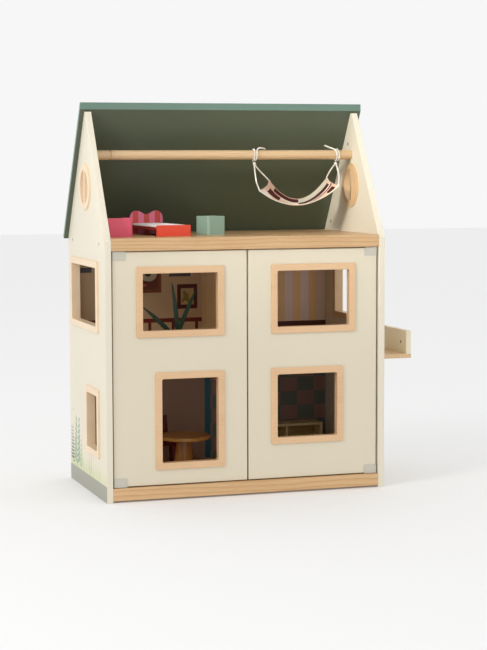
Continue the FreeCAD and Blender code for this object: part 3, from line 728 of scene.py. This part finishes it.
def printed_wall():
    """Cream paint; on the outer face a grey band at the foot and a few printed plants above it."""
    finish = Finish("printed_wall", 0.42)
    place = finish.place()
    x, y, z = house_millimetres(finish)
    outer = x < -WALL_OUT * 1000 + FACE_SKIN
    base = paint_tone(finish, place, CREAM)
    wander = finish.noise(finish.join(y * 0.03, z * 0.01, 0.0), 1.0, 1.0)
    lawn_top = 58.0 + (wander - 0.5) * 26.0
    back_edge = 135.0
    band_top = 30.0
    leaf = sprig(y + (z - 70.0) * 0.06, z, 88.0, 34.0, 122.0, 11.0, 22.0, 4.6, 0.55)
    leaf_small = sprig(y - (z - 60.0) * 0.10, z, 60.0, 32.0, 84.0, 9.0, 13.0, 3.6, 0.7)
    tuft = sprig(y + (z - 50.0) * 0.2, z, -18.0, 30.0, 66.0, 9.0, 14.0, 3.4, 0.9)
    tuft_front = sprig(y - (z - 50.0) * 0.16, z, -88.0, 30.0, 58.0, 8.0, 11.0, 2.8, 0.8)
    stem = between(y + (z - 70.0) * 0.06, 87.2, 88.8) * between(z, 32.0, 116.0)
    buds = sprig(y, z, back_edge - 5.0, 40.0, 106.0, 6.4, 9.0, 2.2, 0.3)
    buds_low = sprig(y + z * 0.12, z, back_edge - 12.0, 34.0, 84.0, 6.4, 7.0, 1.9, 0.3)
    grass = blades(y, z, band_top, lawn_top - band_top, 13.0, 0.32, wander)
    grass_back = blades(y, z, band_top, 26.0, 8.0, -0.45, wander)
    grass_pale = blades(y, z, band_top, 40.0, 17.0, -0.18, wander * 3.0)
    bug = (oval(y, z, 119.0, 138.0, 3.2, 1.8) + oval(y, z, 116.5, 141.0, 1.8, 2.6)).clamped()
    near_back = ((y + 150.0) / 200.0).clamped()
    lawn_share = near_back * 0.6 + 0.35
    painted_face = finish.layers(base, [
        (outer * grass_pale * lawn_share * 0.8, colour(216, 216, 150)),
        (outer * grass_back * lawn_share, colour(196, 208, 158)),
        (outer * grass * lawn_share * 0.7, colour(166, 186, 116)),
        (outer * tuft * 0.6, colour(176, 194, 112)),
        (outer * tuft_front * 0.45, colour(196, 202, 132)),
        (outer * leaf_small * 0.85, colour(146, 180, 128)),
        (outer * stem * 0.8, colour(110, 140, 116)),
        (outer * leaf * 0.85, colour(116, 158, 126)),
        (outer * buds_low * 0.85, colour(92, 96, 84)),
        (outer * buds * 0.9, colour(58, 60, 54)),
        (outer * bug * 0.7, colour(176, 168, 110)),
        (outer * (z < band_top), colour(158, 157, 143)),
    ])
    finish.set(Base_Color=painted_face)
    paint_skin(finish, place)
    return finish.material


# ---- Printed back panel ----

def printed_panel():
    """Board printed on its room side with a different wall for each room, the upper right room's
    stripes made brighter as painted light from the balcony window; plain primer behind.
    """
    finish = Finish("printed_panel", 0.6)
    place = finish.place()
    x, y, z = house_millimetres(finish)
    inner_low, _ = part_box("back_panel")
    room_side = y < (inner_low.y - HOUSE_Y) * 1000 + FACE_SKIN
    grain = finish.noise(place, 500.0, 2.0)
    beige = finish.mix(grain * 0.3, colour(201, 176, 143), colour(186, 160, 128))
    side, floor, ceiling = 258.0, 243.0, 470.0
    upper_left = patch(x, z, -side, 0.0, floor, ceiling)
    lower_left = patch(x, z, -side, 1.4, 0.0, floor)
    upper_right = patch(x, z, 0.0, side, floor, ceiling)
    lower_right = patch(x, z, 1.4, side, 0.0, floor)
    stripe = ((x - 153.5) / 34.2) % 1.0 > 0.5
    # printed stripes, their colours made brighter as painted light from the balcony window
    soft_stripes = finish.mix(stripe, colour(236, 200, 150), colour(232, 214, 204))
    column = ((x - 124.8) / 72.2) % 1.0 > 0.5
    row = ((z - 66.7) / 57.2) % 1.0 > 0.5
    tile = abs(column - row)
    tiles = finish.mix(tile, colour(156, 124, 114), colour(112, 118, 112))
    rail = patch(x, z, -side, -4.0, 300.0, 308.0)
    post = between((x + side) % 48.0, 0.0, 6.2) * patch(x, z, -side, -4.0, 247.0, 300.0)
    leaf = oval(x + (z - 350.0) * 0.4, z, -36.0, 350.0, 4.5, 12.0)
    leaf_left = oval(x - (z - 348.0) * 0.7, z, -38.0, 348.0, 4.0, 9.0)
    leaf_low = oval(x, z + (x + 34.0) * 0.3, -33.0, 344.0, 10.0, 3.4)
    foliage = (leaf + leaf_left + leaf_low).clamped()
    print_face = finish.layers(beige, [
        (lower_left, finish.mix(grain * 0.3, colour(168, 136, 116), colour(152, 120, 102))),
        (upper_right, soft_stripes),
        (upper_right * (z < 295.0), colour(82, 36, 32)),
        (lower_right, tiles),
        (lower_right * (x < 12.9), colour(34, 104, 120)),
        (upper_left * rail, colour(112, 26, 22)),
        (upper_left * post, colour(104, 26, 22)),
        (patch(x, z, -150.0, -87.0, 359.0, 424.0), colour(128, 70, 36)),
        (patch(x, z, -143.0, -94.0, 366.0, 417.0), colour(104, 50, 34)),
        (oval(x, z, -113.0, 394.0, 17.0, 12.5), colour(190, 182, 162)),
        (oval(x, z, -114.0, 397.0, 6.5, 6.0), colour(64, 62, 50)),
        (oval(x, z, -122.0, 374.0, 6.0, 3.0), colour(168, 92, 70)),
        (patch(x, z, -54.4, -13.2, 326.0, 374.4), colour(82, 26, 26)),
        (patch(x, z, -47.2, -20.5, 334.0, 366.4), colour(188, 168, 118)),
        (foliage * patch(x, z, -47.2, -20.5, 334.0, 366.4), colour(140, 126, 56)),
        (patch(x, z, -70.8, -26.7, 390.0, 403.0), colour(84, 86, 98)),
        (patch(x, z, -251.8, -227.0, 401.0, 411.0), colour(84, 86, 98)),
    ])
    primer = finish.mix(grain * 0.4, colour(236, 232, 222), colour(222, 216, 204))
    finish.set(Base_Color=finish.mix(room_side, primer, print_face))
    finish.bump(grain, 0.08, 0.0003)
    return finish.material


# ---- Doll's things ----

def turned_place(finish, node):
    """Coordinates from the middle of a bed piece, along its width and its length."""
    low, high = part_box(node)
    x, y, _ = finish.split(finish.place())
    x = x - (low.x + high.x) / 2
    y = y - (low.y + high.y) / 2
    return (x * math.cos(BED_TURN) + y * math.sin(BED_TURN),
            y * math.cos(BED_TURN) - x * math.sin(BED_TURN))


def striped_headboard():
    """Coral and pink stripes on both faces, and a pink rim."""
    finish = Finish("striped_headboard", 0.4)
    place = finish.place()
    across, through = turned_place(finish, "bed_headboard")
    stripe = ((across / 0.0112 + 0.5) % 2.0) < 1.0
    inside = abs(across) < 0.028
    face = finish.mix(stripe * inside, paint_tone(finish, place, colour(228, 118, 150)),
                      paint_tone(finish, place, colour(206, 74, 66)))
    rim = abs(through) < 0.0027
    finish.set(Base_Color=finish.mix(rim, face, colour(226, 108, 146)))
    paint_skin(finish, place)
    return finish.material


def cord_finish():
    """Cotton yarn: fine fibres wound round each ply."""
    finish = Finish("cotton_cord", 0.85, Sheen_Weight=0.35, Sheen_Roughness=0.5)
    u, v, _ = finish.split(finish.pattern())
    yarn = ((u * 6.0 + v * 7.0) * 2 * math.pi).sine() * 0.5 + 0.5
    fuzz = finish.noise(finish.place(), 3500.0, 2.0)
    tone = finish.mix(yarn * 0.5 + fuzz * 0.3, colour(222, 214, 200), colour(252, 249, 242))
    finish.set(Base_Color=tone)
    finish.bump(yarn + fuzz * 0.6, 0.35, 0.0002)
    return finish.material


def woven_cloth():
    """Plain weave printed with lengthwise blocks; u runs along the hammock and v across it."""
    finish = Finish("hammock_weave", 0.9)
    u, v, _ = finish.split(finish.pattern())
    warp = (u * (CLOTH_LONG / CLOTH_THREAD) * math.pi).sine()
    weft = (v * (CLOTH_WIDE / CLOTH_THREAD) * math.pi).sine()
    weave = warp * weft
    threads = weave * 0.5 + 0.5
    slub = finish.noise(finish.join(u * 60.0, v * 400.0, 0.0), 1.0, 2.0)
    pink = colour(236, 200, 172)
    cream = colour(240, 230, 210)
    grey = colour(206, 204, 184)
    wine = colour(76, 12, 10)
    blocks = finish.layers(pink, [
        (v < 0.10, cream),
        (patch(u, v, 0.0, 0.14, 0.10, 0.30), cream),
        (patch(u, v, 0.50, 1.0, 0.74, 1.0), grey),
        (patch(u, v, 0.50, 0.97, 0.54, 0.74), wine),
        (patch(u, v, 0.55, 1.0, 0.47, 0.54), cream),
        (patch(u, v, 0.58, 1.0, 0.40, 0.47), wine),
        (patch(u, v, 0.88, 0.97, 0.10, 0.32), wine),
        (patch(u, v, 0.10, 0.50, 0.76, 1.0), wine),
        (patch(u, v, 0.05, 0.22, 0.34, 0.70), wine),
        (patch(u, v, 0.22, 0.50, 0.62, 0.76), cream),
    ])
    tone = finish.mix(threads * 0.1 + slub * 0.1, blocks, shade(wine, 1.2))
    finish.set(Base_Color=tone)
    finish.bump(threads + slub * 0.5, 0.4, 0.0002)
    return finish.material


def cotton():
    """White cotton in a fine plain weave."""
    finish = Finish("white_cotton", 0.9, Sheen_Weight=0.25, Sheen_Roughness=0.6)
    x, y, _ = finish.split(finish.place())
    thread = 5200.0    # radians of the weave in a metre
    weave = (x * thread).sine() * (y * thread).sine() * 0.5 + 0.5
    soft = finish.noise(finish.place(), 60.0, 2.0)
    tone = finish.mix(weave * 0.25 + soft * 0.3, colour(242, 232, 230), colour(220, 202, 202))
    finish.set(Base_Color=tone)
    finish.bump(weave, 0.2, 0.0002)
    return finish.material


def leaf_finish():
    """Dark green blades with long veins."""
    finish = Finish("dark_leaf", 0.5)
    x, y, z = finish.split(finish.place())
    veins = finish.noise(finish.join(x * 900.0, y * 900.0, z * 30.0), 1.0, 2.0)
    tone = finish.mix(veins, colour(10, 38, 18), colour(28, 72, 36))
    finish.set(Base_Color=tone)
    finish.bump(veins, 0.2, 0.0003)
    return finish.material


def bolt_heads(name, centres, axis):
    """Plated bolt heads with a round socket in each, by distance from each centre, pressed in by
    bump and darkened as painted shade in the recess.
    """
    finish = Finish(name, 0.34, Metallic=1.0)
    place = finish.place()
    x, y, z = house_millimetres(finish)
    first, second = {"x": (y, z), "z": (x, y)}[axis]
    socket = None
    for middle_first, middle_second in centres:
        hole = oval(first, second, middle_first, middle_second, 1.7, 1.7)
        socket = hole if socket is None else socket + hole
    blotch = finish.noise(place, 300.0, 3.0)
    tone = finish.mix(blotch, colour(176, 172, 164), colour(206, 203, 196))
    # painted shade: each socket coloured near black where its recess would lie in shade
    finish.set(Base_Color=finish.mix(socket.clamped(), tone, colour(40, 38, 36)))
    finish.set(Roughness=blotch * 0.2 + 0.25)
    finish.bump(1.0 - socket.clamped(), 0.6, 0.0008)
    return finish.material


def roof_paint_and_painted_shade():
    """Green paint outside; the face over the attic a darker olive green, painted shade under the
    roof.
    """
    finish = Finish("roof_green", 0.36)
    place = finish.place()
    _, y, z = finish.split(place)
    faces = nodes["roof_panel"].data.polygons
    under = max((f for f in faces if f.normal.z < -0.1 and f.normal.y < -0.1), key=lambda f: f.area)
    depth = under.center.dot(under.normal)
    height = y * under.normal.y + z * under.normal.z - (depth - FACE_SKIN * MM)
    # painted shade: the face over the attic gets the darker olive green in place of shade under the
    # roof
    tone = finish.mix(height > 0.0, paint_tone(finish, place, GREEN, 0.06),
                      paint_tone(finish, place, colour(82, 92, 74), 0.06))
    finish.set(Base_Color=tone)
    paint_skin(finish, place)
    return finish.material


# ---- Giving every piece its finish ----

cream_wall = painted("cream_wall", CREAM)
cream_door = painted("cream_door", DOOR_CREAM)
zinc = metal("zinc", colour(190, 186, 178))
clip_metal = metal("clip_metal", colour(204, 200, 186), 0.42, 0.35)
magnet_metal = metal("magnet_metal", colour(178, 178, 180), 0.25)
bush_nylon = painted("bush_nylon", colour(226, 222, 210), 0.55, 0.03)
golden = timber("golden_wood", colour(206, 150, 74), colour(160, 104, 40), "x", 0.006, 3.1)
ash_case = timber("console_wood", colour(242, 226, 180), colour(220, 196, 146), "x", 0.005, 1.7)

finishes = {
    "left_side_wall": printed_wall(),
    "right_side_wall": cream_wall,
    "left_door": cream_door,
    "right_door": cream_door,
    "roof_panel": roof_paint_and_painted_shade(),
    "back_panel": printed_panel(),
    "base_board": timber("base_pine", PINE_PALE, PINE_DARK, "x", 0.0075, 0.4),
    # painted shade: the attic board's pine darkened to 0.9 of the base board's
    "attic_floor": timber("attic_pine", shade(PINE_PALE, 0.9), shade(PINE_DARK, 0.9),
                          "x", 0.0065, 2.6),
    "middle_floor": timber("floor_beech", BEECH_PALE, BEECH_DARK, "x", 0.006, 1.2),
    "upper_divider": timber("upper_divider_wood", BEECH_PALE, BEECH_DARK, "z", 0.006, 0.8),
    "lower_divider": timber("lower_divider_wood", BEECH_PALE, BEECH_DARK, "z", 0.006, 1.9),
    # painted shade: the rail's beech darkened to 0.88 of the other beech pieces
    "hammock_rail": timber("rail_beech", shade(BEECH_PALE, 0.88), shade(BEECH_DARK, 0.88),
                           "x", 0.0035, 0.9),
    # painted light: the left ring in the paler beech of the key-lit left wall; the right ring in
    # plain beech
    "left_gable_ring": timber("left_ring_beech", PAINTED_LIT_BEECH_PALE, PAINTED_LIT_BEECH_DARK, "z", 0.006, 2.2, 0.1),
    "right_gable_ring": timber("right_ring_beech", BEECH_PALE, BEECH_DARK, "z", 0.006, 1.1, 0.1),
    "balcony_floor": timber("balcony_beech", BEECH_PALE, BEECH_DARK, "y", 0.006, 2.9),
    "balcony_rail": painted("balcony_cream", colour(238, 226, 196)),
    "wall_bolts": bolt_heads("wall_bolt_heads",
                             [(y, z) for y in (-102, 110) for z in (14.7, 467.3)], "x"),
    "balcony_bolts": bolt_heads("balcony_bolt_heads", [(338.75, y) for y in (-73, 73)], "z"),
    "roof_bolts": zinc,
    "balcony_studs": zinc,
    "barrel_nuts": metal("nut_metal", colour(130, 120, 100), 0.45),
    "pivot_bushes": bush_nylon,
    "door_magnets": magnet_metal,
    "armchair": painted("coral_pink", colour(224, 88, 112), 0.4),
    "bed_headboard": striped_headboard(),
    "bed_base": painted("bed_red", colour(150, 34, 26), 0.45),
    "bed_foot_board": painted("orange_red", colour(226, 72, 44), 0.4),
    "pouf": painted("sage", colour(142, 170, 152), 0.42),
    "table_top": golden,
    "table_leg": timber("leg_wood", colour(190, 132, 62), colour(146, 92, 34), "z", 0.006, 4.0),
    "chair_seat": painted("maroon", colour(104, 26, 30), 0.4),
    "chair_back": painted("maroon_back", colour(96, 24, 30), 0.4),
    "console_case": ash_case,
    "console_back": timber("console_back_wood", colour(200, 172, 104), colour(166, 136, 74),
                           "x", 0.005, 2.0),
    "plant_pot": painted("terracotta", colour(196, 120, 86), 0.6),
}
window_seed = 0.3
for side in ("left", "right"):
    for level in ("upper", "lower"):
        finishes[side + "_door_" + level + "_window_frame"] = timber(
            side + "_" + level + "_frame_wood", FRAME_PALE, FRAME_DARK, "x", 0.007, window_seed,
            0.12)
        window_seed += 0.9
    finishes[side + "_door_hinge_clips"] = clip_metal
    finishes[side + "_door_pivot_pins"] = zinc
    finishes[side + "_door_keeper"] = magnet_metal
for window in ("left_upper_window_frame", "left_lower_window_frame", "balcony_window_frame"):
    # painted light: the left wall's window frames in the paler beech of the key-lit side
    pale, dark = (BEECH_PALE, BEECH_DARK) if "balcony" in window else (PAINTED_LIT_BEECH_PALE, PAINTED_LIT_BEECH_DARK)
    finishes[window] = timber(window + "_wood", pale, dark, "y", 0.007, window_seed, 0.12)
    window_seed += 0.9


def soften(node_name, width):
    """Sanded edges on a loose piece: facets on one plane merged, then a small rounding."""
    piece = nodes[node_name]
    weld = piece.modifiers.new("join", "WELD")
    weld.merge_threshold = 0.00001
    flat = piece.modifiers.new("planes", "DECIMATE")
    flat.decimate_type = "DISSOLVE"
    flat.angle_limit = math.radians(0.5)
    edge = piece.modifiers.new("sanded", "BEVEL")
    edge.width = width
    edge.segments = 3
    edge.limit_method = "ANGLE"
    edge.angle_limit = math.radians(40)
    edge.harden_normals = False


for node_name in ("bed_foot_board", "bed_headboard", "chair_seat", "chair_back", "console_case"):
    soften(node_name, 0.8 * MM)


def give_finish(piece, material):
    """One material in a piece's slot."""
    piece.data.materials.clear()
    piece.data.materials.append(material)


for node_name, material in finishes.items():
    give_finish(nodes[node_name], material)

cotton_cord = cord_finish()
for piece in cord_pieces:
    give_finish(piece, cotton_cord)
weave = woven_cloth()
for piece in cloth_pieces:
    give_finish(piece, weave)
give_finish(mattress, cotton())
give_finish(leaves, leaf_finish())


# ---- Stage ----

def make_stage():
    """A plain pale floor, even surrounding light, one wide lamp and one narrow one."""
    mesh = bpy.data.meshes.new("studio_floor")
    reach = 12.0
    mesh.from_pydata([(-reach, -reach, -0.0002), (reach, -reach, -0.0002),
                      (reach, reach, -0.0002), (-reach, reach, -0.0002)], [], [(0, 1, 2, 3)])
    floor = bpy.data.objects.new("studio_floor", mesh)
    bpy.context.scene.collection.objects.link(floor)
    pale = Finish("studio_floor", 0.9)
    pale.set(Base_Color=(0.82, 0.82, 0.82), Emission_Color=(0.9, 0.9, 0.9))
    pale.shader.inputs["Emission Strength"].default_value = 0.085
    give_finish(floor, pale.material)

    world = bpy.data.worlds.new("studio")
    bpy.context.scene.world = world
    world.use_nodes = True
    world.node_tree.nodes["Background"].inputs["Color"].default_value = (0.93, 0.93, 0.93, 1)
    world.node_tree.nodes["Background"].inputs["Strength"].default_value = 1.0

    def lamp(name, place, target, size, power, tone, spread=180):
        data = bpy.data.lights.new(name, "AREA")
        data.size = size
        data.energy = power
        data.color = tone
        data.spread = math.radians(spread)
        light = bpy.data.objects.new(name, data)
        light.location = place
        away = np.array(place) - np.array(target)
        light.rotation_euler = (math.atan2(math.hypot(away[0], away[1]), away[2]), 0,
                                math.atan2(away[1], away[0]) + math.pi / 2)
        bpy.context.scene.collection.objects.link(light)

    lamp("key", (-3.2, -1.6, 2.4), (0, 0, 0.35), 1.2, 36.0, (1.0, 0.99, 0.97))
    lamp("gable_lamp", (-1.9, -1.3, 1.35), (0.24, 0, 0.56), 0.3, 0.3, (1.0, 0.97, 0.9), 14)


make_stage()
bpy.context.scene.view_settings.view_transform = "Standard"
